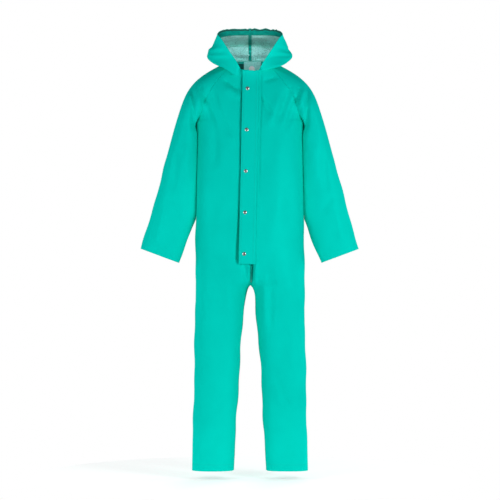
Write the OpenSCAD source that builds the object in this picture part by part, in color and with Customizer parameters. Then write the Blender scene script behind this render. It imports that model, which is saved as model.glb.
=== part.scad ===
// Hooded chemical protective coverall, laid out as if worn by an upright body.
// +X is the wearer's left, -Y is the front, +Z is up, and all lengths are millimetres.
// Inside the file heights are measured from the leg hems; stand() moves the origin to the nape.

/* [Fabric] */
// Thickness of the coated fabric and of its sewn seams together
wall_t = 2; // [1.5:0.1:2.5]
// Thickness of the welded seam tape on the inside
tape_t = 0.8; // [0.5:0.1:1]
// Depth of the turned hems at the cuffs and legs
hem_h = 30; // [20:1:40]
/* [Trunk] */
// Height of the crotch above the leg hems
crotch_z = 758; // [740:1:770]
// Height of the armpit above the leg hems
armpit_z = 1427; // [1420:1:1435]
// Height of the back neck seam above the leg hems
nape_z = 1682; // [1678:1:1690]
// Distance of the back neck seam behind the middle of the body
nape_y = 80; // [78:1:82]
/* [Front closing] */
// Height of the bottom end of the storm flap
placket_z = 845; // [840:1:850]
// Length of the storm flap
flap_len = 786; // [780:1:788]
// Width of the storm flap
flap_w = 66; // [60:1:68]
// Distance of the zip from the middle of the flap
zip_off = 12; // [10:1:13]
// Number of press studs
studs = 5; // [4:1:6]
// Diameter of a press stud cap
cap_d = 15; // [12:0.5:15]
// Distance between two press studs
stud_step = 168; // [120:1:168]
/* [Joints] */
// Radius of the circle where a sleeve starts to move, about the shoulder
sleeve_r = 84; // [83:0.5:86]
// Radius of the circle where a leg starts to move, about the hip
leg_r = 158; // [156:0.5:162]
// Clearance between a moving rim and the fixed one
rim_gap = 3.5; // [3:0.5:5]

/* [Hidden] */
$fn = 40;

coat = "#04BFAD";       // outer coating
lining = "#8FC4BD";     // knitted inside
tape = "#067F70";       // welded seam tape
metal = "#C9CDD0";
dark = "#0B5C52";

fullness = 2.6;          // exponent of the trunk's cross-section
round_pow = 2 / fullness;
seam = 0.3;              // half the gap between two panels of one body
seam_turn = 0.05;        // the same gap as an angle round the body
layer = 0.3;             // gap between the fabric and what is welded to it
tape_half = 10;          // half the width of a seam tape

hip_z = 860;             // height of the hip axis
shoulder = [200, 0, 1515];
nape_axis_z = nape_z + 6;

// Half width, front depth and back depth of the body and the legs, each as [height, value]
OUTER = [[0, 237], [410, 228], [860, 222], [1427, 221]];
INSEAM = [[0, 67.5], [410, 45], [533, 36], [615, 29], [687, 23], [723, 19], [740, 13], [757, 1],
    [758, 0]];
FRONT = [[0, 64], [410, 82], [650, 102], [760, 114], [845, 118], [1635, 88], [1690, 86]];
BACK = [[0, 64], [410, 84], [650, 104], [800, 118], [950, 112], [1100, 104], [1300, 108],
    [1450, 106], [1560, 96], [1640, 86], [1690, 79]];
merge_z = 900;           // above this the two legs' sections have become one

// The raglan seam from the armpit to the neck, as [share of its length, value]
RAGLAN_X = [[0, 221], [0.15, 212], [0.3, 199], [0.5, 188], [0.7, 166], [0.88, 130], [1, 92]];
RAGLAN_Y = [[0, 0], [0.15, 32], [0.3, 56], [0.5, 74], [0.7, 82], [0.88, 78], [1, 70]];
RAGLAN_Z = [[0, 0], [0.15, 13], [0.3, 35], [0.5, 76], [0.7, 120], [0.88, 171], [1, 215]];
back_rise = 1.18;        // the back seam climbs higher than the front one
back_in = 0.95;

// Sleeve stations: outer edge [x, z], inner edge [x, z], half depth
SLEEVE = [[[296, 1446], [225, 1400], 86], [[322, 1356], [225, 1310], 80],
    [[347, 1262], [225, 1215], 72], [[372, 1168], [226, 1117], 64],
    [[398, 1077], [230, 1018], 56], [[422, 992], [258, 932], 46], [[447, 907], [291, 849], 36]];

// Hood: five hoops from the face edge to the centre back seam, each from the neck to the top
HOOD = [
    [[40, -92, 1638], [64, -94, 1677], [91, -90, 1720], [117, -84, 1760], [133, -78, 1783],
        [102, -72, 1800], [0, -68, 1804]],
    [[97, -66, 1651], [146, -64, 1662], [168, -51, 1693], [153, -46, 1730], [139, -44, 1760],
        [94, -39, 1781], [0, -34, 1785]],
    [[108, 5, 1672], [137, 10, 1681], [160, 20, 1701], [150, 28, 1726], [131, 32, 1748],
        [85, 35, 1766], [0, 37, 1771]],
    [[75, 70, 1686], [94, 90, 1695], [111, 102, 1711], [112, 105, 1728], [99, 99, 1742],
        [58, 95, 1754], [0, 92, 1758]],
    [[0, 87, 1689], [0, 103, 1697], [0, 117, 1711], [0, 123, 1725], [0, 122, 1737],
        [0, 117, 1746], [0, 108, 1752]]];

// ---- sheets: a grid of points becomes a thin closed solid between two depths below it

function unit(v) = v / max(norm(v), 1e-9);
function near(k, n, ring) = ring ? (k + n) % n : min(max(k, 0), n - 1);
function out_dir(g, i, j, ring) =
    let (m = len(g[0]),
        up = g[near(i + 1, len(g), false)][j] - g[near(i - 1, len(g), false)][j],
        along = g[i][near(j + 1, m, ring)] - g[i][near(j - 1, m, ring)])
    unit(cross(along, up));
function sunk(g, d, ring) =
    [for (i = [0 : len(g) - 1]) [for (j = [0 : len(g[0]) - 1]) g[i][j] - d * out_dir(g, i, j, ring)]];
function flat(g) = [for (row = g) each row];
function quad(a, b, c, d) = [[a, b, c], [a, c, d]];

module wall(g, d0, d1, ring = false) between(sunk(g, d0, ring), sunk(g, d1, ring), ring);
// Closed solid between two grids of points, the outer one first
module between(outer, inner, ring = false) {
    n = len(outer);
    m = len(outer[0]);
    last = ring ? m - 1 : m - 2;
    function o(i, j) = i * m + j % m;
    function u(i, j) = n * m + i * m + j % m;
    faces = [
        for (i = [0 : n - 2], j = [0 : last]) each quad(o(i, j), o(i + 1, j), o(i + 1, j + 1), o(i, j + 1)),
        for (i = [0 : n - 2], j = [0 : last]) each quad(u(i, j), u(i, j + 1), u(i + 1, j + 1), u(i + 1, j)),
        for (j = [0 : last]) each quad(o(0, j), o(0, j + 1), u(0, j + 1), u(0, j)),
        for (j = [0 : last]) each quad(o(n - 1, j), u(n - 1, j), u(n - 1, j + 1), o(n - 1, j + 1)),
        if (!ring) for (i = [0 : n - 2]) each quad(o(i, 0), u(i, 0), u(i + 1, 0), o(i + 1, 0)),
        if (!ring) for (i = [0 : n - 2])
            each quad(o(i, m - 1), o(i + 1, m - 1), u(i + 1, m - 1), u(i, m - 1))];
    polyhedron(concat(flat(outer), flat(inner)), faces, convexity = 8);
}

module stand() translate([0, -nape_y, -nape_z]) children();
module fabric(g, ring = false) wall(g, 0, wall_t, ring);
module taped(g, ring = false) wall(g, wall_t + layer, wall_t + layer + tape_t, ring);

// ---- body and leg surface: an angle of 0 is the inseam, 180 the side seam, past 180 the back

function mix(a, b, t) = a + (b - a) * t;
function signed_pow(v, e) = sign(v) * pow(abs(v), e);
function inner_x(z) = z <= crotch_z ? lookup(z, INSEAM)
    : -lookup(z, OUTER) * min((z - crotch_z) / (merge_z - crotch_z), 1);
function depth(z, th) = (th + 360) % 360 <= 180 ? -lookup(z, FRONT) : lookup(z, BACK);
function body_point(z, th) =
    let (a = lookup(z, OUTER), b = inner_x(z))
    [(a + b) / 2 - (a - b) / 2 * signed_pow(cos(th), round_pow),
        depth(z, th) * pow(abs(sin(th)), round_pow), z];
// Angle at which the section at this height reaches x = m
function start_angle(z, m) =
    let (a = lookup(z, OUTER), b = inner_x(z))
    z <= crotch_z ? seam_turn : acos(signed_pow(((a + b) / 2 - m) / ((a - b) / 2), 1 / round_pow));
// Height of the hip circle of radius r where it meets the section at this angle
function hip_rim(th, r) =
    let (y = depth(crotch_z - 15, th) * pow(abs(sin(th)), round_pow))
    hip_z - sqrt(r * r - y * y);

// Middle of the zip at this height, and the edge of a front panel on one side of it
function zip_x(z) = z < placket_z ? 0 : zip_off - 12.5 + (z - placket_z) * 16 / 790;
function front_edge(z, side) = z < placket_z ? seam : side * zip_x(z) + 6;

// ---- chest rows end on the raglan seam: u runs up the seam, s from the middle to the seam

function raglan(u, back) =
    [lookup(u, RAGLAN_X), (back ? back_in : -1) * lookup(u, RAGLAN_Y),
        armpit_z + lookup(u, RAGLAN_Z) * (back ? back_rise : 1)];
function chest_point(u, s, back, m) =
    let (r = raglan(u, back), b = lookup(r[2], back ? BACK : FRONT),
        a = r[0] / pow(1 - pow(abs(r[1]) / b, fullness), 1 / fullness),
        t0 = asin(signed_pow(m / a, 1 / round_pow)), t1 = asin(min(1, pow(r[0] / a, 1 / round_pow))),
        t = mix(t0, t1, s), drop = (back ? -2 : 10) * max(0, u - 0.6) / 0.4)
    [a * signed_pow(sin(t), round_pow), (back ? 1 : -1) * b * pow(max(0, cos(t)), round_pow),
        r[2] - drop * (1 - s)];

LOW_ROWS = [757, 770, 790, 820, 843, 847, 900, 1000, 1100, 1200, 1310];
HIGH_ROWS = [0, 0.15, 0.3, 0.5, 0.7, 0.88, 1];
COLS = [for (k = [0 : 9]) k / 9];

function trunk_cols(z, back, s, m) =
    let (th0 = start_angle(z, m), th = mix(th0, 180 - seam_turn, s))
    body_point(z, back ? 360 - th : th);
function rim_row(back, list) = [for (s = list)
    let (th = mix(seam_turn, 180 - seam_turn, s), q = back ? 360 - th : th)
    body_point(hip_rim(q, leg_r - rim_gap), q)];
// One trunk panel: columns s of the list, for a back panel from the side to the middle
function trunk_grid(back, side, list) = concat(
    [rim_row(back, list)],
    [for (z = LOW_ROWS) [for (s = list) trunk_cols(z, back, s, back ? seam : front_edge(z, side))]],
    [for (u = HIGH_ROWS) let (m = back ? seam : front_edge(armpit_z, side) + (back ? 0 : side * u * 4))
        [for (s = list) chest_point(u, s * (1 - 0.004), back, m)]]);
function reversed(list) = [for (k = [len(list) - 1 : -1 : 0]) list[k]];

module on_side(side) {
    if (side > 0) children();
    else mirror([1, 0, 0]) children();
}
module front_panel(side) color(coat) stand() on_side(side) fabric(trunk_grid(false, side, COLS));
module back_panel(side) color(coat) stand() on_side(side) fabric(trunk_grid(true, side, reversed(COLS)));

// ---- sleeves: an angle of 0 is the outer edge, 90 the front, 180 the inner edge, 270 the back

PSI = [0, 15, 30, 50, 70, 90, 110, 130, 150, 166, 180, 194, 210, 230, 250, 270, 290, 310, 330, 345];
neck_side = [105, 0, 1664];
neck_angle = 30;         // the raglan seam reaches the neck at this angle
bulge_in = [2.3, 0, 26.7];
bulge_out = [34.7, 0, 39.3];

function fold_angle(psi) = psi <= 180 ? psi : 360 - psi;
function scye(psi) =
    let (back = psi > 180, f = fold_angle(psi), top = raglan(1, back))
    f >= neck_angle ? raglan((180 - f) / (180 - neck_angle), back)
    : [mix(neck_side[0], top[0], pow(f / neck_angle, 2)), top[1] * f / neck_angle,
        mix(neck_side[2], top[2], f / neck_angle)];
function scye_rim(psi, r) =
    let (a = -44 + 29 * cos(psi))
    [shoulder[0] + r * cos(a), -86 * signed_pow(sin(psi), 0.85), shoulder[2] + r * sin(a)];
function bezier(a, b, c, d, t) =
    pow(1 - t, 3) * a + 3 * pow(1 - t, 2) * t * b + 3 * (1 - t) * t * t * c + pow(t, 3) * d;
function head_point(t, psi) =
    let (a = scye(psi) + [1.2, 0, 0], d = scye_rim(psi, sleeve_r - rim_gap),
        w = pow(max(0, cos(psi)), 1.3), out = [0, -9 * sin(psi), 0])
    bezier(a, mix(a, d, 1 / 3) + w * bulge_in + out, mix(a, d, 2 / 3) + w * bulge_out + out, d, t);
function station(k, psi) = k == 0 ? scye_rim(psi, sleeve_r)
    : let (q = SLEEVE[k - 1], c = (q[0] + q[1]) / 2, h = (q[0] - q[1]) / 2,
        e = signed_pow(cos(psi), 0.85))
    [c[0] + h[0] * e, -q[2] * signed_pow(sin(psi), 0.85), c[1] + h[1] * e];
function sleeve_point(t, psi) =
    let (k = min(floor(t), len(SLEEVE) - 1))
    mix(station(k, psi), station(k + 1, psi), t - k);
function sleeve_grid(ts, psis) = [for (t = reversed(ts)) [for (p = reversed(psis)) sleeve_point(t, p)]];

HEAD_T = [0, 0.15, 0.35, 0.55, 0.75, 0.9, 1];
cuff_t = len(SLEEVE);
cuff_hem_t = cuff_t - hem_h / 92;

module sleeve_head(side) color(coat) stand() on_side(side)
    fabric([for (t = reversed(HEAD_T)) [for (p = reversed(PSI)) head_point(t, p)]], true);
module sleeve(side) color(coat) stand() on_side(side)
    fabric(sleeve_grid([for (k = [0 : cuff_t]) k], PSI), true);
module cuff_hem(side) color(lining) stand() on_side(side)
    taped(sleeve_grid([cuff_hem_t, cuff_t - 0.005], PSI), true);
module underarm_tape(side) color(tape) stand() on_side(side)
    taped(sleeve_grid([0.1, 1, 2, 3, 4, 5, 6, cuff_hem_t - 0.02], [168, 180, 192]));

// ---- legs

// Tape behind a seam where two panels meet: each row of the list is [seam, next point in front, next behind]
function corner_row(c, d, half) =
    let (f = unit(c[1] - c[0]), b = unit(c[2] - c[0]),
        nf = unit(cross(f, [0, 0, 1])), nb = unit(cross([0, 0, 1], b)),
        deep = d / max(0.5, min(abs(f[1]), abs(b[1]))))
    [c[0] + half * f + d * nf, c[0] + [sign(nf[0]) * deep, 0, 0], c[0] + half * b + d * nb];
module corner_tape(corners, half) between(
    [for (c = corners) corner_row(c, wall_t + layer, half)],
    [for (c = corners) corner_row(c, wall_t + layer + tape_t, half)]);

LEG_ROWS = [0, 130, 270, 410, 533, 640, 690];
LEG_COLS = [for (k = [0 : 9]) k / 9];
function leg_grid(t0, t1) = concat(
    [for (z = LEG_ROWS) [for (s = LEG_COLS) body_point(z, mix(t0, t1, s))]],
    [[for (s = LEG_COLS) let (th = mix(t0, t1, s)) body_point(hip_rim(th, leg_r), th)]]);
function leg_strip(zs, angles) = [for (z = zs) [for (th = angles) body_point(z, th)]];
module leg_front(side) color(coat) stand() on_side(side) fabric(leg_grid(seam_turn, 180 - seam_turn));
module leg_back(side) color(coat) stand() on_side(side) fabric(leg_grid(180 + seam_turn, 360 - seam_turn));
module leg_hem(side) color(lining) stand() on_side(side)
    taped(leg_strip([0.5, hem_h], [for (k = [0 : 17]) k * 20]), true);
TAPE_ROWS = [hem_h + 1, 130, 270, 410, 533, 640, 690];
module inseam_tape(side) color(tape) stand() on_side(side)
    corner_tape([for (z = TAPE_ROWS) [for (th = [0, 20, 340]) body_point(z, th)]], tape_half);
module outseam_tape(side) color(tape) stand() on_side(side)
    corner_tape([for (z = TAPE_ROWS) [for (th = [180, 200, 160]) body_point(z, th)]], tape_half);

// ---- seam tapes of the trunk

module side_tape(side) color(tape) stand() on_side(side)
    corner_tape([for (z = LOW_ROWS) if (z != 843) [body_point(z, 180),
        trunk_cols(z, true, COLS[8], seam), trunk_cols(z, false, COLS[8], 6)]], tape_half);
// Points on the last facet of a panel, beside the raglan seam
function seam_facet(u, f, back, m) =
    mix(chest_point(u, COLS[8] * 0.996, back, m), chest_point(u, 0.996, back, m), f);
module raglan_tape(side) color(tape) stand() on_side(side) for (back = [false, true])
    wall([for (u = HIGH_ROWS) if (u > 0.1 && u < 0.95)
        [for (f = back ? [0.88, 0.15] : [0.15, 0.88]) seam_facet(u, f, back, back ? seam : 6 + 8 * u)]],
        wall_t + 0.7, wall_t + 0.7 + tape_t);
module centre_back_tape() color(tape) stand()
    taped([for (z = [900, 1000, 1100, 1200, 1310, armpit_z, 1520, 1600])
        [for (x = [tape_half, 0, -tape_half]) [x, lookup(z, BACK) - 0.2, z]]]);
// The crotch seam runs from the zip's end under the body to the centre back seam
CROTCH_Z = [838, 820, 800, 785, 772];
function crotch_y(z, back) = let (th = start_angle(z, seam)) body_point(z, back ? 360 - th : th)[1];
module crotch_tape() color(tape) stand()
    taped([for (x = [-tape_half / 2, tape_half / 2]) concat(
        [for (z = CROTCH_Z) [x, crotch_y(z, false) + 2, z + 1.5]],
        [[x, -20, crotch_z + 6], [x, 20, crotch_z + 6]],
        [for (z = reversed(CROTCH_Z)) [x, crotch_y(z, true) - 3, z + 1.5]])]);

// ---- neck

function neck_line() = concat(
    [for (s = [0.04, 0.35, 0.7, 1]) chest_point(1, s, false, 20)],
    [for (p = [neck_angle, 15, 0, 345, 360 - neck_angle]) if (fold_angle(p) < neck_angle) scye(p)],
    [for (s = [1, 0.7, 0.35, 0.01]) chest_point(1, s, true, 2)]);
module neck_band() color(dark) stand() for (side = [1, -1]) on_side(side)
    wall([for (h = [14, 3]) [for (p = neck_line()) p - [0, 0, h]]], 3, 4);
module size_patch() color(lining) stand()
    translate([10, 77, 1647]) rotate([7, 0, 0]) cube([70, 0.8, 36], center = true);
module size_disc() color("white") stand()
    translate([10, 77, 1647]) rotate([7, 0, 0]) translate([-3, -0.7, 3]) rotate([90, 0, 0])
        cylinder(r = 12.5, h = 0.6);

// ---- front closing, drawn along the leaning placket: y = 0 is the fabric's outer face

module placket() stand() translate([-12.5, -lookup(placket_z, FRONT), placket_z])
    rotate([-2.174, 1.161, 0]) children();
module bar(x0, x1, y0, y1, z0, z1) translate([x0, y0, z0]) cube([x1 - x0, y1 - y0, z1 - z0]);

hinge_x = flap_w / 2 + 1.5;
flap_y = -6;             // inner face of the flap
stud_x = -flap_w / 2 + 21;
stud_z0 = 41;
chain_z = [16, 745];
slider_z = 748;
module at_studs() for (k = [0 : studs - 1]) translate([stud_x, 0, stud_z0 + k * stud_step]) children();
// A turned piece whose axis points out of the suit, from height h0 to h1 off the fabric
module turned(points) rotate([90, 0, 0]) rotate_extrude() polygon(points);

module storm_flap() color(coat) placket()
    bar(-flap_w / 2, flap_w / 2, flap_y - wall_t, flap_y, 0, flap_len);
module flap_seam_strip() color(coat) placket() bar(hinge_x + 2.5, hinge_x + 12, -1.4, -0.1, 0, flap_len - 4);
module stud_caps() color(metal) placket() at_studs()
    turned([[0, 8.2], [cap_d / 2, 8.2], [cap_d / 2, 8.9], [cap_d / 2 - 1, 9.9], [cap_d / 2 - 3, 10.7],
        [0, 11.2]]);
module stud_sockets() color(metal) placket() at_studs()
    turned([[3.3, 2.9], [5.6, 2.9], [6, 3.3], [6, 5.8], [3.3, 5.8]]);
module stud_posts() color(metal) placket() at_studs()
    turned([[0, 0.2], [6, 0.2], [6, 1.4], [2.2, 1.8], [2.6, 3], [2.2, 4.2], [0, 4.4]]);
module stud_backs() color(metal) placket() at_studs()
    turned([[0, -4.6], [5.4, -4.6], [6, -4], [6, -3.3], [0, -3.3]]);
module inner_fly() color(coat) placket() bar(zip_off - 26, zip_off + 22, 7.6, 8.8, 6, flap_len - 20);

module zip_half(side) translate([zip_off, 0, 0]) on_side(side) children();
module zip_tape(side) color(dark) placket() zip_half(side) bar(3.5, 16, 3.2, 4, 4, 773);
module zip_chain(side) color(dark) placket() zip_half(side) bar(0.8, 3.3, 1.6, 4, chain_z[0], chain_z[1] + 28);
module zip_stops() color(metal) placket() translate([zip_off, 0, 0]) {
    bar(-3.3, 3.3, 1.2, 4.2, 9, 15.5);
    for (side = [1, -1]) on_side(side) bar(0.8, 3.3, 1.2, 4.2, 774, 779);
}
module zip_slider() color(metal) placket() translate([zip_off, 0, slider_z]) {
    bar(-4.6, 4.6, -0.6, 0.9, -12, 12);
    bar(-4.6, 4.6, 4.6, 5.8, -12, 12);
    bar(-0.4, 0.4, 0.8, 4.7, 2, 11);
    // bridge that holds the pull, with its pin
    for (z = [-7, 5]) bar(-1.4, 1.4, -3, -0.5, z, z + 2);
    bar(-1.4, 1.4, -3.4, -2.6, -7, 7);
}
module zip_pull() color(metal) placket() translate([zip_off, -4.8, slider_z + 2]) rotate([90, 0, 0])
    translate([0, 0, -0.6]) linear_extrude(1.2) difference() {
        union() {
            circle(r = 3.6);
            translate([-3, -32]) square([6, 32]);
            translate([0, -32]) circle(r = 3);
        }
        translate([0, -29]) circle(r = 1.6, $fn = 24);
    }

// ---- hood: w runs from the face edge to the centre back seam, v from the neck to the top

function curve(p, t) =
    let (n = len(p) - 1, k = min(floor(t), n - 1), f = t - k,
        a = p[max(k - 1, 0)], b = p[k], c = p[k + 1], d = p[min(k + 2, n)])
    0.5 * (2 * b + (c - a) * f + (2 * a - 5 * b + 4 * c - d) * f * f + (3 * b - a - 3 * c + d) * f * f * f);
function hood_point(w, v) = curve([for (hoop = HOOD) curve(hoop, v)], w);
function hood_grid(ws, vs) =
    [for (v = vs) [for (w = ws) let (p = hood_point(w, v)) [max(p[0], 2 * seam), p[1], p[2]]]];
HOOD_W = [0, 0.5, 1, 1.5, 2, 2.5, 3, 3.5, 4];
HOOD_V = [0, 0.5, 1, 1.5, 2, 2.5, 3, 3.5, 4, 4.5, 5, 5.5, 6];
module hood_panel(side) color(coat) stand() on_side(side) fabric(hood_grid(HOOD_W, HOOD_V));
// Strip on the hood's first facets, between two shares of their width
function face_strip(f0, f1, v0) = [for (v = HOOD_V) if (v >= v0) let (g = hood_grid([0, 0.5], [v])[0])
    [for (f = [f0, f1]) mix(g[0], g[1], f)]];
module hood_face_hem() color(tape) stand() for (side = [1, -1]) on_side(side)
    wall(face_strip(0.1, 0.75, 1), wall_t + 0.8, wall_t + 0.8 + tape_t);
module hood_elastic() color(dark) stand() for (side = [1, -1]) on_side(side)
    wall(face_strip(0.2, 0.55, 1.5), wall_t + 2.1, wall_t + 3.2);
module hood_centre_tape() color(tape) stand()
    taped([for (p = concat([for (v = [0.3 : 0.9 : 5.8]) hood_point(4, v)],
        [for (w = [3.8, 3, 2, 1, 0.5]) hood_point(w, 6)]))
        [for (x = [8, 0, -8]) [x, p[1] - 0.4, p[2] - 0.4]]]);

front_panel(1);  // left_front_panel
front_panel(-1);  // right_front_panel
back_panel(1);  // left_back_panel
back_panel(-1);  // right_back_panel
sleeve_head(1);  // left_sleeve_head
sleeve_head(-1);  // right_sleeve_head
neck_band();
inner_fly();
zip_tape(1);  // left_zip_tape
zip_tape(-1);  // right_zip_tape
zip_chain(1);  // left_zip_chain
zip_chain(-1);  // right_zip_chain
zip_stops();
zip_slider();
zip_pull();
storm_flap();
flap_seam_strip();
stud_caps();
stud_sockets();
stud_posts();
stud_backs();
size_patch();
size_disc();
centre_back_tape();
crotch_tape();
raglan_tape(1);  // left_raglan_tape
raglan_tape(-1);  // right_raglan_tape
side_tape(1);  // left_side_tape
side_tape(-1);  // right_side_tape
hood_panel(1);  // left_hood_panel
hood_panel(-1);  // right_hood_panel
hood_face_hem();
hood_elastic();
hood_centre_tape();
sleeve(1);  // left_sleeve
sleeve(-1);  // right_sleeve
cuff_hem(1);  // left_cuff_hem
cuff_hem(-1);  // right_cuff_hem
underarm_tape(1);  // left_underarm_tape
underarm_tape(-1);  // right_underarm_tape
leg_front(1);  // left_leg_front
leg_back(1);  // left_leg_back
leg_front(-1);  // right_leg_front
leg_back(-1);  // right_leg_back
leg_hem(1);  // left_leg_hem
leg_hem(-1);  // right_leg_hem
inseam_tape(1);  // left_inseam_tape
inseam_tape(-1);  // right_inseam_tape
outseam_tape(1);  // left_outseam_tape
outseam_tape(-1);  // right_outseam_tape
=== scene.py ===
"""Hooded chemical protective coverall: coated panels, hood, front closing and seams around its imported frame.

Shapes are worked out in millimetres with heights above the leg hems, as the frame's own solids are, and
to_row() turns them into the row's metres. -Y is the front and +X the wearer's left.
"""
import math

import bpy
import numpy as np
from bpy.props import FloatProperty, FloatVectorProperty, IntProperty, PointerProperty
from bpy.types import Operator, Panel, PropertyGroup
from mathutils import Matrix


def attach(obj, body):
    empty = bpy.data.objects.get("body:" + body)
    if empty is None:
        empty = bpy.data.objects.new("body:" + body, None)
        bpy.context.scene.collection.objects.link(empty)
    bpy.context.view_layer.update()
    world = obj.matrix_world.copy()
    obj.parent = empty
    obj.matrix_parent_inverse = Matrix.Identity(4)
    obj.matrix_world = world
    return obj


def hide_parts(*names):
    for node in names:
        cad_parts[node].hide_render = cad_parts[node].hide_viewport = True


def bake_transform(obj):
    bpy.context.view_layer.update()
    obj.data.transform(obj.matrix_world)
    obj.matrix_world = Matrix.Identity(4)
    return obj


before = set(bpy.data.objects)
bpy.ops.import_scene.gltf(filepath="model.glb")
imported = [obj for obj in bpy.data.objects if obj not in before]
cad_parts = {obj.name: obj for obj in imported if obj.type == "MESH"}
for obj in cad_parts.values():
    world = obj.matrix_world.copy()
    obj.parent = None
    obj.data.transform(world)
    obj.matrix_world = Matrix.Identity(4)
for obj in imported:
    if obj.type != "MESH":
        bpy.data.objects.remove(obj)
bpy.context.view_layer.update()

bl_info = {
    "name": "Protective coverall",
    "version": (1, 0, 0),
    "blender": (4, 5, 0),
    "location": "View3D > Sidebar > Coverall",
    "description": "Builds a hooded protective coverall around its packed frame",
    "category": "Object",
}

# ---------------------------------------------------------------- settings

class FabricSettings(PropertyGroup):
    """Coated cloth of the panels."""

    thickness: FloatProperty(
        name="Thickness", description="Thickness of the coated cloth in millimetres",
        default=1.0, min=0.3, max=2.0)
    step: FloatProperty(
        name="Grid step", description="Distance between the mesh's points in millimetres",
        default=7.0, min=4, max=20)
    fold_depth: FloatProperty(
        name="Fold depth", description="Multiplies the height of every fold", default=1.9, min=0, max=2)
    coat: FloatVectorProperty(
        name="Coating", description="Colour of the outer coating", subtype="COLOR", size=3,
        default=(0.0005, 0.700, 0.580), min=0, max=1)
    lining: FloatVectorProperty(
        name="Lining", description="Colour of the knitted inside", subtype="COLOR", size=3,
        default=(0.400, 0.930, 0.890), min=0, max=1)
    tape: FloatVectorProperty(
        name="Seam tape", description="Colour of the welded seam tape", subtype="COLOR", size=3,
        default=(0.004, 0.330, 0.265), min=0, max=1)


class ClosingSettings(PropertyGroup):
    """Storm flap, studs, zip and stitches."""

    stitch_pitch: FloatProperty(
        name="Stitch pitch", description="Distance between two stitches",
        default=0.0042, unit="LENGTH", min=0.002)
    tooth_pitch: FloatProperty(
        name="Tooth pitch", description="Distance between two zip teeth",
        default=0.0026, unit="LENGTH", min=0.001)
    flap_wave: FloatProperty(
        name="Flap wave", description="How far the flap's free edge wanders in millimetres",
        default=1.1, min=0, max=3)


class HoodSettings(PropertyGroup):
    """Hood and its face edge."""

    gathers: IntProperty(
        name="Gathers", description="Number of elastic gathers over the brow", default=26, min=0, max=60)
    slump: FloatProperty(
        name="Slump", description="How far the back of the hood folds forward in millimetres",
        default=36, min=0, max=50)


class StageSettings(PropertyGroup):
    """Floor, light and camera."""

    distance: FloatProperty(
        name="Camera distance", description="Distance from the camera to the suit",
        default=9.0, unit="LENGTH", min=3)
    frame_height: FloatProperty(
        name="Frame height", description="Height that the picture takes in",
        default=2.05, unit="LENGTH", min=1)
    key: FloatProperty(
        name="Key light", description="Power of the front light in watts", default=12.0, min=0)
    fill: FloatProperty(
        name="Room light", description="Strength of the light from all round", default=0.25, min=0)


def settings():
    return bpy.context.scene.coverall


# ---------------------------------------------------------------- shape of the suit, in millimetres

MM = 0.001
NAPE_Y, NAPE_Z = 80.0, 1682.0
CROTCH_Z, MERGE_Z, ARMPIT_Z = 758.0, 900.0, 1427.0
SIDE_X, PANEL_WIDTH, RAGLAN_RISE = 221.0, 330.0, 215.0
FULLNESS = 2.6  # power of the trunk's sections: 2 is an ellipse, more is squarer
ROUND = 2 / FULLNESS
ARM_ROUND = 0.85
# the front closing's own axes start at its foot and lean a little to the wearer's left
PLACKET_FOOT = (-12.5, -118.0, 845.0)
PLACKET_LENGTH, PLACKET_SHIFT = 790, 16
LEAN_X, LEAN_Y = math.radians(-2.174), math.radians(1.161)
ZIP_OFF, FLAP_LEN = 12.0, 786.0
HEM_H = 30.0
SHOULDER = (200.0, 1515.0)
SLEEVE_R = 82.0

# [height, value] of half the width, the gap between the legs, and the depth in front and behind
OUTER = [(0, 237), (410, 228), (860, 222), (1427, 221)]
INSEAM = [(0, 67.5), (410, 45), (533, 36), (615, 29), (687, 23), (723, 18.5), (740, 14), (750, 9.5),
          (756, 4), (758, 0)]
FRONT = [(0, 64), (410, 82), (650, 102), (760, 114), (845, 118), (1240, 103), (1635, 88), (1690, 86)]
BACK = [(0, 64), (410, 84), (650, 104), (800, 118), (950, 112), (1100, 104), (1300, 108), (1450, 106),
        (1560, 96), (1640, 86), (1690, 79)]
# [share of the raglan seam's length, value]
RAGLAN_X = [(0, 221), (0.15, 212), (0.3, 199), (0.5, 188), (0.7, 166), (0.88, 130), (1, 92)]
RAGLAN_Y = [(0, 0), (0.15, 32), (0.3, 56), (0.5, 74), (0.7, 82), (0.88, 78), (1, 70)]
RAGLAN_Z = [(0, 0), (0.15, 13), (0.3, 35), (0.5, 76), (0.7, 120), (0.88, 171), (1, 215)]
BACK_RISE, BACK_IN = 1.18, 0.95
# Sleeve stations: outer edge x, z, inner edge x, z, half depth
SLEEVE = [(296, 1446, 225, 1400, 86), (322, 1356, 225, 1310, 80), (347, 1262, 225, 1215, 72),
          (372, 1168, 226, 1117, 64), (398, 1077, 230, 1018, 56), (422, 992, 258, 932, 46),
          (447, 907, 291, 849, 36)]
NECK_SIDE, NECK_ANGLE = (105.0, 0.0, 1664.0), 30.0
BULGE_IN, BULGE_OUT = np.array([5, 0, 30]), np.array([40, 0, 46])
# Hood: five hoops from the face edge to the centre back seam, each from the neck to the top
HOOD = np.array([
    [(34, -97, 1634), (62, -95, 1677), (91, -90, 1720), (117, -84, 1760),
     (133, -78, 1781), (101, -72, 1799), (0, -68, 1802)],
    [(97, -68, 1646), (146, -66, 1662), (168, -52, 1692), (153, -46, 1730),
     (138, -44, 1758), (93, -40, 1777), (0, -36, 1780)],
    [(107, 5, 1667), (137, 10, 1679), (160, 20, 1701), (150, 28, 1726),
     (131, 32, 1747), (85, 34, 1763), (0, 36, 1768)],
    [(75, 68, 1682), (94, 90, 1694), (112, 100, 1711), (114, 102, 1728),
     (102, 96, 1742), (60, 92, 1754), (0, 90, 1758)],
    [(0, 84, 1685), (0, 100, 1697), (0, 112, 1711), (0, 118, 1725),
     (0, 118, 1738), (0, 114, 1748), (0, 106, 1755)],
], float)

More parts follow.
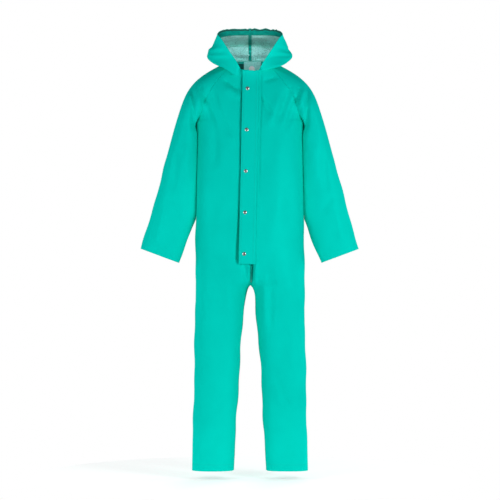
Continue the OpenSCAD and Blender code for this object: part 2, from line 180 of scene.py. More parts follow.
# Folds on the front as x0, z0, x1, z1, half width, height: below zero is a valley
FRONT_FOLDS = [
    (-166, 1560, -80, 1370, 17, -5.5), (-190, 1530, -143, 1395, 13, -4.5), (-143, 1395, -140, 1250, 16, -3),
    (-128, 1500, -60, 1330, 20, 3.5), (-105, 1592, -42, 1552, 10, -5), (-95, 1560, -40, 1520, 14, 2.5),
    (163, 1560, 112, 1425, 16, -5), (38, 1520, 90, 1452, 13, -4), (190, 1525, 150, 1400, 13, -4),
    (120, 1520, 70, 1400, 20, 2.8), (60, 1590, 110, 1606, 9, -3.5),
    (-237, 1580, -229, 1410, 9, -7), (-205, 1572, -181, 1500, 9, -5.5), (-220, 1560, -200, 1480, 12, 4),
    (238, 1580, 229, 1410, 9, -7), (201, 1568, 186, 1500, 9, -5.5), (219, 1555, 200, 1480, 12, 4),
    (-96, 1330, -84, 1000, 34, 2.6), (120, 1340, 104, 1010, 36, 2.4), (-150, 1200, -158, 900, 28, -2),
    (160, 1180, 166, 900, 30, -2), (82, 806, 84, 590, 13, -4.2), (60, 800, 58, 640, 16, 2.6),
    (107, 385, 152, 275, 15, -4), (112, 330, 160, 215, 18, 2.6), (-150, 560, -120, 430, 26, -2.4),
    (-95, 360, -140, 240, 24, -2.2), (150, 560, 128, 455, 24, -2.2), (-110, 790, -70, 640, 24, 2.2),
    (9, 856, 5, 752, 8, -11), (24, 862, 20, 762, 7, 4), (-7, 850, -1, 772, 6, 4), (-26, 850, -14, 770, 9, -3),
    (300, 1300, 312, 1150, 16, -3.4), (-300, 1300, -312, 1150, 16, -3.4),
    (262, 1330, 262, 1180, 20, 3), (-262, 1330, -262, 1180, 20, 3), (335, 1120, 290, 1050, 15, -2),
    (-335, 1120, -290, 1050, 15, -2), (352, 1060, 380, 930, 20, 2.6), (-352, 1060, -380, 930, 20, 2.6),
]
BACK_FOLDS = [
    (-170, 1580, -90, 1400, 20, -5), (170, 1580, 95, 1395, 20, -5), (-40, 1560, 40, 1500, 26, 3),
    (-120, 1250, -60, 1120, 26, -4), (120, 1230, 70, 1110, 26, -4), (-150, 1040, 150, 1060, 22, 4),
    (-130, 980, 120, 990, 18, -3.5), (0, 940, 0, 800, 14, -7), (-110, 800, -60, 700, 20, -4.5),
    (110, 800, 62, 700, 20, -4.5), (-150, 560, -90, 500, 18, -4), (150, 555, 92, 500, 18, -4),
    (-140, 470, -100, 520, 16, 3), (140, 470, 100, 520, 16, 3), (-130, 260, -150, 120, 22, -3),
    (130, 250, 150, 120, 22, -3), (-232, 1570, -226, 1420, 10, -6), (232, 1570, 226, 1420, 10, -6),
    (-320, 1150, -270, 1080, 16, -4), (320, 1150, 270, 1080, 16, -4), (-300, 1280, -250, 1220, 18, 3),
    (300, 1280, 250, 1220, 18, 3),
]


def to_row(points):
    """From millimetres above the leg hems to the row's metres about the nape."""
    return (np.asarray(points, float) - (0, NAPE_Y, NAPE_Z)) * MM


def signed_pow(v, e):
    return np.sign(v) * np.abs(v) ** e


def mix(a, b, t):
    return a + (b - a) * t


def smoothstep(a, b, v):
    t = np.clip((v - a) / (b - a), 0, 1)
    return t * t * (3 - 2 * t)


def hermite(t, gap, ends, slopes):
    """Cubic between two ends that leaves and arrives with the given slopes."""
    return ((2 * t**3 - 3 * t**2 + 1) * ends[0] + (t**3 - 2 * t**2 + t) * gap * slopes[0]
            + (3 * t**2 - 2 * t**3) * ends[1] + (t**3 - t**2) * gap * slopes[1])


def along(table, x):
    """Value at x on a smooth curve through a table of (place, value), with no overshoot."""
    xs, ys = np.array(table, float).T
    x = np.clip(x, xs[0], xs[-1])
    gap = np.diff(xs)
    slope = np.diff(ys) / gap
    both = slope[:-1] * slope[1:]
    total = np.where(both > 0, slope[:-1] + slope[1:], 1)
    tangent = np.r_[slope[0], np.where(both > 0, 2 * both / total, 0), slope[-1]]
    k = np.clip(np.searchsorted(xs, x, side="right") - 1, 0, len(gap) - 1)
    return hermite((x - xs[k]) / gap[k], gap[k], (ys[k], ys[k + 1]), (tangent[k], tangent[k + 1]))


def inner_x(z):
    """Inner end of a leg's section, which reaches the far side once the legs have merged."""
    merged = -along(OUTER, z) * np.clip((z - CROTCH_Z) / (MERGE_Z - CROTCH_Z), 0, 1)
    return np.where(z <= CROTCH_Z, along(INSEAM, z), merged)


def body_point(z, th):
    """Trunk and leg surface: th is 0 at the inseam, 90 in front, 180 at the side seam and 270 behind."""
    a, b = along(OUTER, z), inner_x(z)
    rad = np.radians(th)
    depth = np.where(np.mod(th, 360) <= 180, -along(FRONT, z), along(BACK, z))
    x = (a + b) / 2 - (a - b) / 2 * signed_pow(np.cos(rad), ROUND)
    return np.stack([x, depth * np.abs(np.sin(rad)) ** ROUND, z + 0 * th], -1)


def start_angle(z, m):
    """Angle at which the section at height z reaches x = m."""
    a, b = along(OUTER, z), inner_x(z)
    c = np.clip(((a + b) / 2 - m) / ((a - b) / 2), -1, 1)
    return np.where(z <= CROTCH_Z, 0, np.degrees(np.arccos(signed_pow(c, 1 / ROUND))))


def placket_lean(z):
    """How far the front closing has moved to the wearer's left at height z."""
    return (z - PLACKET_FOOT[2]) * PLACKET_SHIFT / PLACKET_LENGTH


def zip_x(z):
    """Middle of the zip at height z; below its foot the two panels meet on x = 0."""
    return (ZIP_OFF + PLACKET_FOOT[0] + placket_lean(z)) * smoothstep(850, 860, z)


def front_edge(z, side):
    """Edge of a front panel, 6 mm to its own side of the zip's middle."""
    return side * zip_x(z) + 6 * smoothstep(850, 860, z)


def raglan(u, back):
    """Raglan seam from the armpit, u = 0, to the neck, u = 1."""
    sign, rise = (BACK_IN, BACK_RISE) if back else (-1, 1)
    return np.stack([along(RAGLAN_X, u), sign * along(RAGLAN_Y, u), ARMPIT_Z + along(RAGLAN_Z, u) * rise], -1)


def chest_point(u, s, back, m):
    """Chest and shoulder blades: u climbs the raglan seam, s goes from the middle to that seam."""
    seam = raglan(u, back)
    b = along(BACK if back else FRONT, seam[..., 2])
    a = seam[..., 0] / (1 - (np.abs(seam[..., 1]) / b) ** FULLNESS) ** (1 / FULLNESS)
    t0 = np.arcsin(signed_pow(m / a, 1 / ROUND))
    t1 = np.arcsin(np.minimum(1, (seam[..., 0] / a) ** (1 / ROUND)))
    t = mix(t0, t1, s)
    drop = (-2 if back else 10) * np.maximum(0, u - 0.6) / 0.4
    y = (1 if back else -1) * b * np.abs(np.cos(t)) ** ROUND
    return np.stack([a * signed_pow(np.sin(t), ROUND), y, seam[..., 2] - drop * (1 - s)], -1)


def scye(psi):
    """Edge of the sleeve on the raglan seams and the neck: psi is 0 at the neck, 180 at the armpit."""
    fold = np.where(psi <= 180, psi, 360 - psi)
    u = np.clip((180 - fold) / (180 - NECK_ANGLE), 0, 1)
    edge = np.where((psi > 180)[..., None], raglan(u, True), raglan(u, False))
    f = np.clip(fold / NECK_ANGLE, 0, 1)
    x, z = mix(NECK_SIDE[0], edge[..., 0], f**2), mix(NECK_SIDE[2], edge[..., 2], f)
    neck = np.stack([x, edge[..., 1] * f, z], -1)
    return np.where((fold < NECK_ANGLE)[..., None], neck, edge)


def scye_rim(psi, r):
    """Circle about the shoulder where the sleeve head passes into the sleeve."""
    a, rad = np.radians(-44 + 29 * np.cos(np.radians(psi))), np.radians(psi)
    y = -86 * signed_pow(np.sin(rad), ARM_ROUND)
    return np.stack([SHOULDER[0] + r * np.cos(a), y, SHOULDER[1] + r * np.sin(a)], -1)


def head_point(t, psi):
    """Sleeve head from the raglan seam, t = 0, to the circle about the shoulder, t = 1."""
    a, d = scye(psi), scye_rim(psi, SLEEVE_R)
    w = np.maximum(0, np.cos(np.radians(psi)))[..., None] ** 1.3
    out = np.stack([0 * psi, -9 * np.sin(np.radians(psi)), 0 * psi], -1)
    b, c = mix(a, d, 1 / 3) + w * BULGE_IN + out, mix(a, d, 2 / 3) + w * BULGE_OUT + out
    return (1 - t) ** 3 * a + 3 * (1 - t) ** 2 * t * b + 3 * (1 - t) * t * t * c + t**3 * d


def station(k, psi):
    """Ring of the sleeve at one of its stations."""
    ox, oz, ix, iz, depth = SLEEVE[k]
    e, f = (signed_pow(wave(np.radians(psi)), ARM_ROUND) for wave in (np.cos, np.sin))
    return np.stack([(ox + ix) / 2 + (ox - ix) / 2 * e, -depth * f, (oz + iz) / 2 + (oz - iz) / 2 * e], -1)


def spline(knots, rings, at):
    """Smooth curve through rings of points at their knots, read at the places in `at`."""
    gap = np.diff(knots)
    wide = gap[:, None, None]
    slope = np.diff(rings, axis=0) / wide
    inner = (slope[1:] * wide[:-1] + slope[:-1] * wide[1:]) / (gap[1:] + gap[:-1])[:, None, None]
    tangent = np.concatenate([slope[:1], inner, slope[-1:]])
    k = np.clip(np.searchsorted(knots, at, side="right") - 1, 0, len(gap) - 1)
    t = ((at - knots[k]) / gap[k])[:, None, None]
    return hermite(t, wide[k], (rings[k], rings[k + 1]), (tangent[k], tangent[k + 1]))


HEAD_RINGS = (0, 0.2, 0.4, 0.6, 0.8, 0.95)
SLEEVE_STEPS, SLEEVE_SMOOTHINGS = 100, 9


def sleeve_rows(psi, at=None, step=7.0):
    """Sleeve surface as rows from the raglan seam to the cuff; `at` holds shares of its length."""
    under = smoothstep(-0.15, 0.75, -np.cos(np.radians(psi)))[:, None]
    straight = [mix(scye(psi), station(0, psi), t * 0.9) for t in HEAD_RINGS]
    heads = [mix(head_point(t, psi), line, under) for t, line in zip(HEAD_RINGS, straight)]
    rings = np.array(heads + [station(k, psi) for k in range(len(SLEEVE))])
    knots = np.r_[0, np.cumsum(np.linalg.norm(np.diff(rings, axis=0), axis=-1).mean(axis=1))]
    if at is None:
        at = edged(knots[-1], step)
    fine = spline(knots, rings, np.linspace(0, 1, SLEEVE_STEPS + 1) * knots[-1])
    for _ in range(SLEEVE_SMOOTHINGS):
        fine[1:-1] += 0.5 * ((fine[:-2] + fine[2:]) / 2 - fine[1:-1])
    at = np.asarray(at) * SLEEVE_STEPS
    k = np.minimum(at.astype(int), SLEEVE_STEPS - 1)
    return against_trunk(mix(fine[k], fine[k + 1], (at - k)[:, None, None]))


def against_trunk(rows):
    """Lets the sleeve's inner side sink in as far as the trunk's side, and no further."""
    x, y, z = np.moveaxis(rows, -1, 0)
    depth = np.where(y < 0, along(FRONT, z), along(BACK, z))
    trunk = along(OUTER, z) * (1 - np.minimum(np.abs(y) / depth, 0.999) ** FULLNESS) ** (1 / FULLNESS)
    near = (1 - smoothstep(4, 46, x - SIDE_X)) * (1 - smoothstep(1370, 1420, z)) * smoothstep(985, 1075, z)
    out = rows.copy()
    out[..., 0] = np.maximum(x - 13 * near, np.minimum(x, trunk + 1.4))
    return out


# ---------------------------------------------------------------- folds

def ripple(x, z, seed):
    """Gentle wandering of hung cloth, from a few fixed waves."""
    rng = np.random.default_rng(seed)
    total = np.zeros_like(x)
    for size in (420, 300, 210, 150, 105, 78):
        turn, phase = rng.uniform(0, math.tau, 2)
        across, up = x * math.cos(turn) * 1.3, z * math.sin(turn) * 0.6
        total += size / 420 * np.sin(math.tau * (across + up) / size + phase)
    return total


def fold_height(x, z, folds):
    """Sum of soft ridges and valleys, each fading towards its two ends."""
    total = np.zeros_like(x)
    for x0, z0, x1, z1, width, height in folds:
        dx, dz = x1 - x0, z1 - z0
        length = math.hypot(dx, dz)
        t = ((x - x0) * dx + (z - z0) * dz) / length**2
        far = np.abs((x - x0) * dz - (z - z0) * dx) / length
        end = smoothstep(-0.18, 0.22, t) * (1 - smoothstep(0.78, 1.18, t))
        total += height * end * np.exp(-((far / width) ** 2))
    return total


def pleat(x, z):
    """Depth of the valley beside the flap's free edge: wide and square at its foot, a thin line higher up."""
    edge = -45.4 + placket_lean(z)
    width = 3.5 + 14.5 * (1 - smoothstep(880, 1230, z)) * (1 - 0.25 * smoothstep(870, 1000, z))
    deep = 4 + 11 * (1 - smoothstep(880, 1180, z))
    across = smoothstep(edge - width - 2, edge - width + 3, x)
    across = across * smoothstep(-width, width * 0.3, x - edge) ** 0.5
    return deep * across * (1 - smoothstep(edge + 6, edge + 13, x)) * smoothstep(853, 858, z)


def draped(points):
    """Moves points in or out by the folds: nothing moves on the side lines, where y is 0."""
    x, y, z = np.moveaxis(points, -1, 0)
    depth = settings().fabric.fold_depth
    front = fold_height(x, z, FRONT_FOLDS) + 0.85 * ripple(x, z, 4)
    back = fold_height(x, z, BACK_FOLDS) + 1.1 * ripple(x, z, 9)
    rim = smoothstep(0, 26, np.abs(y))
    under_flap = smoothstep(852, 862, z) * (1 - smoothstep(26, 44, np.abs(x - zip_x(z) + 10)))
    front = front * (1 - under_flap) - pleat(x, z) / max(depth, 0.01) - 1.2 * under_flap
    out = points.copy()
    out[..., 1] += np.where(y < 0, -front, back) * rim * depth * (1 - smoothstep(1596, 1632, z))
    # the sides wander a little as well, most between the armpit and the knee
    sway = 1.3 * np.sin(z / 61 + 1.1 * np.sign(x)) + 0.9 * np.sin(z / 23 + 2 * np.sign(x))
    out[..., 0] += (np.sign(x) * sway * depth * (1 - rim) * smoothstep(60, 200, z)
                    * (1 - smoothstep(1240, 1330, z)) * 0.8)
    return out


# ---------------------------------------------------------------- meshes

# Distances from a seam, in millimetres, at which a grid has its close rows
SEAM_STEPS = (0, 1.2, 2.4, 4, 6.5, 9.5, 13)
SHARP_EDGE = math.radians(40)


def edged(length, step):
    """Shares from 0 to 1 with a few close steps at the ends that hold a seam."""
    near = np.array(SEAM_STEPS) / length
    a, b = near[-1], 1 - near[-1]
    middle = np.linspace(a, b, max(3, round((b - a) * length / step)) + 1)
    return np.r_[near[:-1], middle, (1 - near[:-1])[::-1]]


def grid_normals(g, ring=False):
    """Unit normals of a grid; in a ring the last column joins the first."""
    if ring:
        across = np.roll(g, -1, axis=1) - np.roll(g, 1, axis=1)
    else:
        across = np.gradient(g, axis=1)
    n = np.cross(across, np.gradient(g, axis=0))
    return n / np.maximum(np.linalg.norm(n, axis=-1, keepdims=True), 1e-9)


def lap(distance):
    """Height of a lap seam at a distance from it: nothing on the seam itself, then a flat double layer."""
    return 0.75 * smoothstep(0, 2.2, distance) * (1 - smoothstep(7.5, 10.5, distance))


def towards_axis(g):
    """Level direction to the suit's upright axis, the same for both sheets that meet in a seam."""
    flat = g * (-1, -1, 0)
    return flat / np.maximum(np.linalg.norm(flat, axis=-1, keepdims=True), 1)


def run(g, axis):
    """Distance from the first row or column along the other direction of the grid."""
    d = np.linalg.norm(np.diff(g, axis=axis), axis=-1)
    return np.concatenate([np.zeros_like(np.take(d, [0], axis=axis)), np.cumsum(d, axis=axis)], axis=axis)


def seamed(g, edges, ring=False, groove=1.7):
    """Presses the welded seams in along the named edges: first, last, left, right."""
    n = grid_normals(g, ring)
    rows, cols = run(g, 0), run(g, 1)
    far = {"first": rows, "last": rows[-1:] - rows, "left": cols, "right": cols[:, -1:] - cols}
    lift = sum(lap(far[e]) for e in edges)
    deep = groove * sum(np.exp(-((far[e] / 2.4) ** 2)) for e in edges)
    return g + n * np.asarray(lift)[..., None] + towards_axis(g) * np.asarray(deep)[..., None]


def link(name, data):
    """Puts a mesh, curve, light or camera in the scene as an object of its own."""
    obj = bpy.data.objects.new(name, data)
    bpy.context.collection.objects.link(obj)
    return obj


def mesh_object(name, verts, faces, slots, materials, uvs):
    mesh = bpy.data.meshes.new(name)
    mesh.from_pydata(verts.tolist(), [], faces.tolist())
    for each in materials:
        mesh.materials.append(each)
    mesh.polygons.foreach_set("material_index", slots.astype(np.int32))
    layer = mesh.uv_layers.new(name="Cloth")
    index = np.zeros(len(mesh.loops), np.int32)
    mesh.loops.foreach_get("vertex_index", index)
    layer.data.foreach_set("uv", uvs[index].astype(np.float32).ravel())
    mesh.shade_smooth()
    mesh.set_sharp_from_angle(angle=SHARP_EDGE)
    mesh.validate()
    return link(name, mesh)


def sheet_object(name, g, d0, d1, materials, ring=False):
    """Thin closed solid between two depths in millimetres below a grid, lined with the last material."""
    n, m = g.shape[:2]
    normal = grid_normals(g, ring)
    verts = to_row(np.concatenate([(g - d0 * normal).reshape(-1, 3), (g - d1 * normal).reshape(-1, 3)]))
    ids = np.arange(n * m).reshape(n, m)
    under = ids + n * m
    right = np.roll(ids, -1, axis=1) if ring else ids[:, 1:]
    right_u = right + n * m
    ids_c, under_c = (ids, under) if ring else (ids[:, :-1], under[:, :-1])

    def quads(a, b, c, d):
        return np.stack([a, b, c, d], -1).reshape(-1, 4)

    outer = quads(ids_c[:-1], right[:-1], right[1:], ids_c[1:])
    inner = quads(under_c[:-1], under_c[1:], right_u[1:], right_u[:-1])
    rims = [quads(ids_c[0], under_c[0], right_u[0], right[0]),
            quads(ids_c[-1], right[-1], right_u[-1], under_c[-1])]
    if not ring:
        rims += [quads(ids[:-1, 0], ids[1:, 0], under[1:, 0], under[:-1, 0]),
                 quads(ids[:-1, -1], under[:-1, -1], under[1:, -1], ids[1:, -1])]
    faces = np.concatenate([outer, inner, *rims])
    slots = np.zeros(len(faces))
    slots[len(outer):len(outer) + len(inner)] = len(materials) - 1
    uv = np.stack([run(g, 1), run(g, 0)], -1).reshape(-1, 2) * MM
    return mesh_object(name, verts, faces, slots, materials, np.concatenate([uv, uv]))


def panel_object(name, g, ring=False):
    """A panel of the coated cloth, with its lining inside."""
    return sheet_object(name, g, 0, settings().fabric.thickness, [material("coat"), material("lining")], ring)


# What lies on the lining, as two depths in millimetres below the cloth's thickness
TAPE_LAYER, HEM_LAYER, FACE_HEM_LAYER = (0.05, 0.5), (0.05, 0.9), (0.05, 1.0)
ELASTIC_LAYER, HOOD_TAPE_LAYER = (1.05, 2.2), (0.4, 0.9)


def lining_object(name, g, layer, key, ring=False):
    """A hem, tape or web that lies on the inside of a panel."""
    t = settings().fabric.thickness
    return sheet_object(name, g, t + layer[0], t + layer[1], [material(key)], ring)


def stands_for(obj, slot, *nodes):
    """Hides the frame nodes that a piece replaces; `slot` is not used."""
    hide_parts(*nodes)


def bend(obj, body, start, end):
    """Bakes a piece's placement into its mesh; `body`, `start` and `end` are not used."""
    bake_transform(obj)


# ---------------------------------------------------------------- materials

class Finish:
    """A material in the making: its nodes and its shader's sockets."""

    def __init__(self, name, colour, roughness, **sockets):
        self.material = bpy.data.materials.new(name)
        self.material.use_nodes = True
        self.material.diffuse_color = (*colour, 1)
        self.nodes, self.links = self.material.node_tree.nodes, self.material.node_tree.links
        self.sockets = self.nodes["Principled BSDF"].inputs
        for key, value in {"Base_Color": (*colour, 1), "Roughness": roughness, **sockets}.items():
            self.sockets[key.replace("_", " ")].default_value = value

    def coordinates(self):
        return self.nodes.new("ShaderNodeTexCoord").outputs

    def texture(self, kind, source, scale, **inputs):
        node = self.nodes.new("ShaderNodeTex" + kind)
        self.links.new(source, node.inputs["Vector"])
        for key, value in {"Scale": scale, **inputs}.items():
            node.inputs[key].default_value = value
        return node.outputs

    def tint(self, height, stops):
        """Colours the surface by a ramp of (place, colour)."""
        node = self.nodes.new("ShaderNodeValToRGB")
        self.links.new(height, node.inputs["Fac"])
        elements = node.color_ramp.elements
        for k, (place, colour) in enumerate(stops):
            stop = elements[k] if k < 2 else elements.new(place)
            stop.position, stop.color = place, (*colour, 1)
        self.links.new(node.outputs["Color"], self.sockets["Base Color"])

    def dull(self, height, low, high):
        """Varies the roughness between two values."""
        node = self.nodes.new("ShaderNodeMapRange")
        self.links.new(height, node.inputs["Value"])
        node.inputs["To Min"].default_value, node.inputs["To Max"].default_value = low, high
        self.links.new(node.outputs["Result"], self.sockets["Roughness"])

    def emboss(self, layers):
        """Chains bump nodes: each layer is a height socket, a strength and a distance."""
        before = None
        for height, strength, distance in layers:
            node = self.nodes.new("ShaderNodeBump")
            node.inputs["Strength"].default_value = strength
            node.inputs["Distance"].default_value = distance
            self.links.new(height, node.inputs["Height"])
            if before:
                self.links.new(before, node.inputs["Normal"])
            before = node.outputs["Normal"]
        self.links.new(before, self.sockets["Normal"])


def shade(colour, k):
    """The colour made k times as bright."""
    return tuple(min(1, c * k) for c in colour)


def coat_material():
    """Satin coating: fine pebble, faint clouds of colour, duller where it is handled."""
    colour = settings().fabric.coat
    coat = Finish("coated_cloth", colour, 0.5, Metallic=0.04, Specular_IOR_Level=0.0,
                  Specular_Tint=(0.0, 1.0, 0.90, 1))
    place = coat.coordinates()["Object"]
    clouds = coat.texture("Noise", place, 5.5, Detail=3)
    coat.tint(clouds["Fac"], [(0.3, shade(colour, 0.955)), (0.7, shade(colour, 1.035))])
    coat.dull(coat.texture("Noise", place, 38, Detail=5)["Fac"], 0.42, 0.60)
    pebble = coat.texture("Voronoi", place, 900)
    grain = coat.texture("Noise", place, 330, Detail=3)
    crinkle = coat.texture("Noise", place, 26, Detail=3)
    coat.emboss([(crinkle["Fac"], 0.22, 0.004), (grain["Fac"], 0.14, 0.0006),
                 (pebble["Distance"], 0.12, 0.0003)])
    return coat.material


def lining_material(name="knit_lining", colour=None, flecks=0.5):
    """Knitted backing: fine ribs along the cloth and darker and paler flecks."""
    colour = colour or settings().fabric.lining
    knit = Finish(name, colour, 0.9, Sheen_Weight=0.15, Sheen_Roughness=0.6)
    coords = knit.coordinates()
    fleck = knit.texture("Noise", coords["Object"], 190, Detail=4, Roughness=0.75)
    patch = knit.texture("Noise", coords["Object"], 22, Detail=2)
    both = knit.nodes.new("ShaderNodeMix")
    both.inputs["Factor"].default_value = 0.3
    knit.links.new(fleck["Fac"], both.inputs["A"])
    knit.links.new(patch["Fac"], both.inputs["B"])
    dark = tuple(c * (1 - flecks) for c in colour)
    pale = tuple(min(1, c + 0.32 * flecks) for c in colour)
    knit.tint(both.outputs["Result"], [(0.36, dark), (0.64, pale), (0.5, colour)])
    ribs = knit.texture("Wave", coords["UV"], 260, Distortion=1.5)
    knit.emboss([(ribs["Fac"], 0.35, 0.0004), (fleck["Fac"], 0.3, 0.0008)])
    return knit.material


def tape_material(name, colour, roughness=0.35):
    """Welded tape: smooth film over a faint print of the cloth below."""
    film = Finish(name, colour, roughness, Specular_Tint=(0.1, 1.0, 0.9, 1))
    place = film.coordinates()["Object"]
    cloudy = film.texture("Noise", place, 60, Detail=3)
    film.tint(cloudy["Fac"], [(0.3, shade(colour, 0.8)), (0.7, shade(colour, 1.2))])
    film.emboss([(film.texture("Voronoi", place, 520)["Distance"], 0.25, 0.0004)])
    return film.material


def woven_material(name, colour):
    """Close plain weave on Object coordinates, for the zip's tapes, the elastic and the thread."""
    web = Finish(name, colour, 0.8)
    weave = web.texture("Brick", web.coordinates()["Object"], 700, Color1=(*shade(colour, 1.25), 1),
                        Color2=(*shade(colour, 0.75), 1), Mortar=(*shade(colour, 0.4), 1))
    web.links.new(weave["Color"], web.sockets["Base Color"])
    web.emboss([(weave["Fac"], 0.4, 0.0003)])
    return web.material


def metal_material():
    """Nickel plate with fine scratches and dulled patches."""
    plate = Finish("nickel_plate", (0.42, 0.42, 0.42), 0.25, Metallic=1.0)
    place = plate.coordinates()["Object"]
    dull = plate.texture("Noise", place, 420, Detail=4)
    plate.dull(dull["Fac"], 0.10, 0.34)
    plate.tint(dull["Fac"], [(0.3, (0.30, 0.30, 0.30)), (0.7, (0.52, 0.52, 0.515))])
    plate.emboss([(plate.texture("Noise", place, 1500, Detail=2)["Fac"], 0.08, 0.0002)])
    return plate.material


def label_material():
    """Blank white label with a matt film."""
    label = Finish("label_film", (0.95, 0.95, 0.96), 0.45)
    cloudy = label.texture("Noise", label.coordinates()["Object"], 240, Detail=3)
    label.tint(cloudy["Fac"], [(0.3, (0.88, 0.88, 0.90)), (0.7, (0.97, 0.97, 0.98))])
    label.emboss([(cloudy["Fac"], 0.1, 0.0004)])
    return label.material


MAKERS = {
    "coat": coat_material,
    "lining": lining_material,
    "tape": lambda: tape_material("seam_tape", settings().fabric.tape),
    # painted shade: a darker copy of the lining for the hood's roof above the fallen back
    "painted_shade_lining": lambda: lining_material("painted_shade_lining", (0.34, 0.88, 0.80)),
    "patch_knit": lambda: lining_material("patch_knit", (0.34, 0.90, 0.86), 0.3),
    # painted shade: a near-black strip for the deep hollow inside the back neck on either side of the patch
    "facing": lambda: tape_material("neck_painted_shade_strip", (0.001, 0.032, 0.025), 0.5),
    "zip_cloth": lambda: woven_material("zip_cloth", (0.004, 0.13, 0.105)),
    "zip_coil": lambda: tape_material("zip_coil", (0.006, 0.17, 0.14), 0.3),
    "elastic": lambda: woven_material("elastic_web", (0.002, 0.10, 0.075)),
    "thread": lambda: woven_material("thread", (0.002, 0.50, 0.42)),
    "metal": metal_material,
    "label": label_material,
}
_made = {}


def material(key):
    """The material of that name, made when it is first asked for."""
    if key not in _made:
        _made[key] = MAKERS[key]()
    return _made[key]


def dress(node, key):
    """Gives one of the frame's own nodes its finished material."""
    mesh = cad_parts[node].data
    mesh.materials.clear()
    mesh.materials.append(material(key))


# ---------------------------------------------------------------- panels

SIDES = {"left": 1, "right": -1}


def on_side(g, side):
    """Mirrors a grid to the wearer's right, with its columns turned so that it still faces out."""
    return g if side > 0 else (g * (-1, 1, 1))[:, ::-1]


# Width beside the zip with close columns, and their pitch
CLOSE_WIDTH, CLOSE_PITCH = 84, 3.0


def trunk_grid(back, side):
    """One panel from the leg hem to the neck, from the middle to the side and raglan seams."""
    step = settings().fabric.step
    legs = np.arange(0, CROTCH_Z - 2, step)
    grow = np.linspace(0.02, 1, 24) ** 2 * (MERGE_Z - CROTCH_Z) + CROTCH_Z
    trunk = np.arange(MERGE_Z + step, ARMPIT_Z - 2, step)
    zs = np.unique(np.r_[legs, SEAM_STEPS[1:4], CROTCH_Z - 1.5, grow, trunk])
    if back:
        s = edged(PANEL_WIDTH, step)
    else:
        closing, seam = np.arange(0, CLOSE_WIDTH, CLOSE_PITCH), PANEL_WIDTH - np.array(SEAM_STEPS)[::-1]
        s = np.r_[closing, np.linspace(CLOSE_WIDTH, 318, 34), seam] / PANEL_WIDTH
    s = np.unique(np.round(s, 5))
    z, share = np.meshgrid(zs, s, indexing="ij")
    th = mix(start_angle(z, 0 * z if back else front_edge(z, side)), 180, share)
    low = body_point(z, 360 - th if back else th)
    u, share = np.meshgrid(np.linspace(0, 1, 64), s, indexing="ij")
    m = 0 * u if back else front_edge(ARMPIT_Z + u * RAGLAN_RISE, side)
    g = np.concatenate([low, chest_point(u, share, back, m)])
    return g[:, ::-1] if back else g


LEG_BEND = ((0, 0, 752), (0, 0, 560))
HOOD_BEND = ((0, 84, 1691), (0, 50, 1810))


def arm_bend(obj, name, side):
    bend(obj, name + "_arm", (side * 230, 0, 1440), (side * 356, 0, 1380))


class COVERALL_OT_body(Operator):
    """Makes the four body and leg panels, with hems at the legs"""

    bl_idname = "coverall.body"
    bl_label = "Body panels"

    def execute(self, context):
        for name, side in SIDES.items():
            for where in ("front", "back"):
                g = on_side(trunk_grid(where == "back", side), side)
                seams = ("left", "right") if where == "back" else ("right",) if side > 0 else ("left",)
                panel = panel_object(f"{name}_{where}_cloth", seamed(draped(g), seams))
                bend(panel, name + "_leg", *LEG_BEND)
                stands_for(panel, "coat", f"{name}_{where}_panel", f"{name}_leg_{where}")
            around = np.linspace(0, 360, 96, endpoint=False)
            z, th = np.meshgrid(np.linspace(0.4, HEM_H, 6), around, indexing="ij")
            g = draped(on_side(body_point(z, th), side))
            hem = lining_object(f"{name}_leg_hem_band", g, HEM_LAYER, "coat", ring=True)
            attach(hem, name + "_leg")
            stands_for(hem, "lining", name + "_leg_hem")
        return {"FINISHED"}


class COVERALL_OT_sleeves(Operator):
    """Makes both raglan sleeves with their turned cuffs and underarm tapes"""

    bl_idname = "coverall.sleeves"
    bl_label = "Sleeves"

    def execute(self, context):
        psi = np.linspace(360, 0, 120, endpoint=False)
        for name, side in SIDES.items():
            rows = on_side(sleeve_rows(psi, step=settings().fabric.step)[::-1], side)
            surface = seamed(draped(rows), ("last",), ring=True)
            sleeve = panel_object(f"{name}_sleeve_cloth", surface, ring=True)
            arm_bend(sleeve, name, side)
            stands_for(sleeve, "coat", name + "_sleeve_head", name + "_sleeve")
            hem_rows = draped(on_side(sleeve_rows(psi, np.linspace(0.9995, 0.962, 6)), side))
            hem = lining_object(f"{name}_cuff_hem_band", hem_rows, HEM_LAYER, "coat", ring=True)
            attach(hem, name + "_arm")
            stands_for(hem, "lining", name + "_cuff_hem")
            tape_rows = on_side(sleeve_rows(np.linspace(192, 168, 7), np.linspace(0.955, 0.04, 70)), side)
            band = lining_object(f"{name}_underarm_seam", draped(tape_rows), TAPE_LAYER, "tape")
            arm_bend(band, name, side)
            stands_for(band, "seam_tape", name + "_underarm_tape")
        return {"FINISHED"}


# ---------------------------------------------------------------- seam tapes of the body

TAPE_PITCH = 9.0  # millimetres between the rows of a long tape


def tape_object(name, g, *replaced):
    obj = lining_object(name, g, TAPE_LAYER, "tape")
    stands_for(obj, "seam_tape", *replaced)
    return obj


